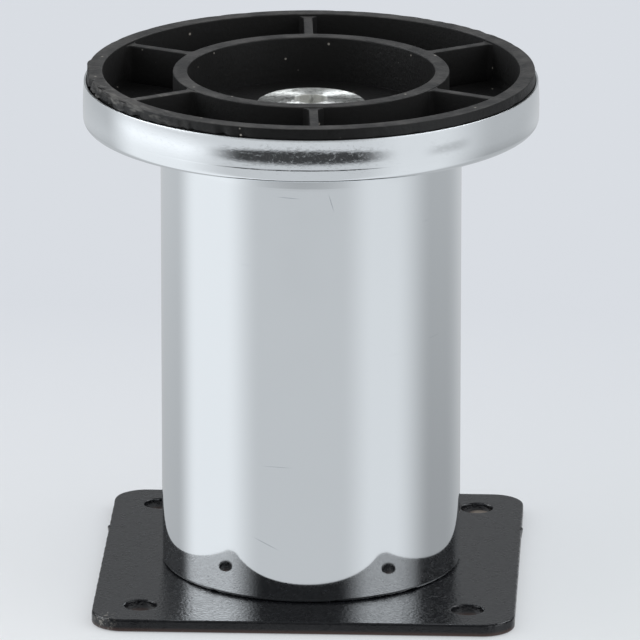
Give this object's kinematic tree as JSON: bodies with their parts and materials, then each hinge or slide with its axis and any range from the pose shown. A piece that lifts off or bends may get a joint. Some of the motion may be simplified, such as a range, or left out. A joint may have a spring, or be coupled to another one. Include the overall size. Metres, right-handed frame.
{
  "type": "furniture leg",
  "caption": "Short chromed tubular furniture leg with a square black mounting plate at one end and a wide cup foot with a ribbed black moulding at the other, clamped by a central bolt.",
  "frame": {"origin": "centre of the mounting plate's outer face, which the leg stands on here with its foot upwards", "axes": "+Z along the tube from the mounting plate to the foot, X and Y along the plate's edges"},
  "size_m": [0.0908, 0.0908, 0.1045],
  "materials": {
    "powder_coat": "semi-gloss powder coat",
    "zinc_steel": "bright zinc plate",
    "chrome": "polished chrome plate",
    "black_plastic": "as moulded"
  },
  "bodies": {
    "root": {"mounting_plate": "powder_coat", "weld_nut": "zinc_steel", "leg_tube": "chrome", "foot_cup": "chrome", "foot_insert": "black_plastic", "clamp_bolt": "zinc_steel"}
  },
  "joints": []
}
